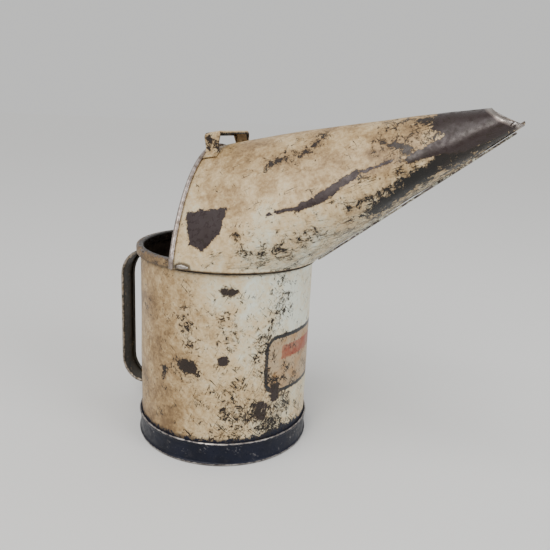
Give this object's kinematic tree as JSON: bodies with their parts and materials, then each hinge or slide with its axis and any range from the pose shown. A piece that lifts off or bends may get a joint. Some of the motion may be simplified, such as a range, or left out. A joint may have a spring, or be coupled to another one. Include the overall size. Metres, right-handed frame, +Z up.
{
  "type": "handy oiler can",
  "caption": "Round tinplate oil can, open at the rear of a hood that draws in to a long pouring spout, with a strap handle and a hanging loop.",
  "frame": {"origin": "on the surface the can stands on, under the middle of its bounding box", "axes": "+Z up along the can's axis, +X the way the spout points, +Y to the left of the can when seen from behind, along the hanging loop"},
  "size_m": [0.2504, 0.124, 0.2159],
  "materials": {
    "cream_paint": "old cream gloss paint, worn, stained and chipped",
    "navy_paint": "dark navy gloss paint, scuffed to metal on the beads",
    "bare_steel": "bare tinned steel wire, worn and browned",
    "dark_tin": "tinplate darkened by old oil",
    "solder": "dull soft solder"
  },
  "bodies": {
    "root": {"base_pan": "dark_tin", "base_solder_bead": "solder", "body_shell": "cream_paint", "body_side_seam": "cream_paint", "foot_band": "navy_paint", "handle_edge_wire_left": "bare_steel", "handle_edge_wire_right": "bare_steel", "handle_lower_solder_left": "solder", "handle_lower_solder_right": "solder", "handle_strap": "cream_paint", "handle_upper_solder_left": "solder", "handle_upper_solder_right": "solder", "hood_corner_tab_left": "bare_steel", "hood_corner_tab_right": "bare_steel", "hood_edge_wire": "bare_steel", "hood_solder_line": "solder", "hood_spout_shell": "cream_paint", "loop_edge_wire_front": "bare_steel", "loop_edge_wire_rear": "bare_steel", "loop_strap": "cream_paint", "rim_band": "cream_paint", "rim_wire": "bare_steel", "spout_seam_rib": "cream_paint"}
  },
  "joints": []
}
